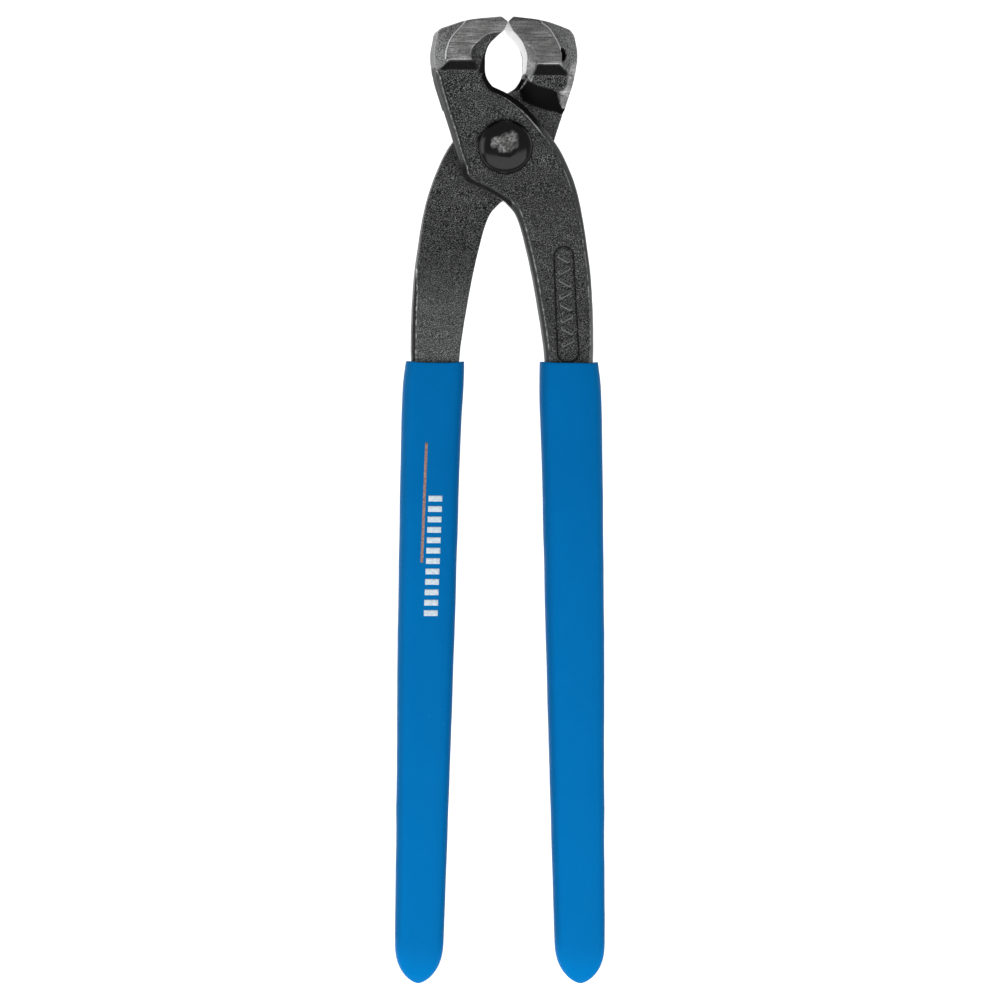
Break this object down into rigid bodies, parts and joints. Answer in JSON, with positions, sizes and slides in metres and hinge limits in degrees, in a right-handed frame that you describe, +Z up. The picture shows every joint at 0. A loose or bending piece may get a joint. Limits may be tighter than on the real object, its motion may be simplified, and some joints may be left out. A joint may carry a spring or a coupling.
{
  "type": "tile nippers",
  "caption": "Hand nippers with end-cutting jaws round an open eye, crossed on a domed rivet, with blue dipped handles.",
  "frame": {"origin": "on the bench, under the middle of the box round the closed tool", "axes": "+Y from the handles to the jaws, +X to the right seen from above, +Z up from the bench; the tool lies on its back, face up, with its jaws 1.8 degrees higher than its grip ends"},
  "size_m": [0.0544, 0.2502, 0.0244],
  "materials": {
    "forged_steel": "satin",
    "rivet_steel": "gloss",
    "blue_pvc": "satin"
  },
  "bodies": {
    "front_half": {"front_lever": "forged_steel", "right_grip": "blue_pvc", "pivot_rivet": "rivet_steel"},
    "rear_half": {"rear_lever": "forged_steel", "left_grip": "blue_pvc"}
  },
  "joints": [
    {"name": "jaw_pivot", "type": "hinge", "parent": "front_half", "child": "rear_half", "pos_m": [0, 0.09124, 0.0113], "axis": [0, 0.0322, -0.9995], "range_deg": [0, 45]}
  ]
}
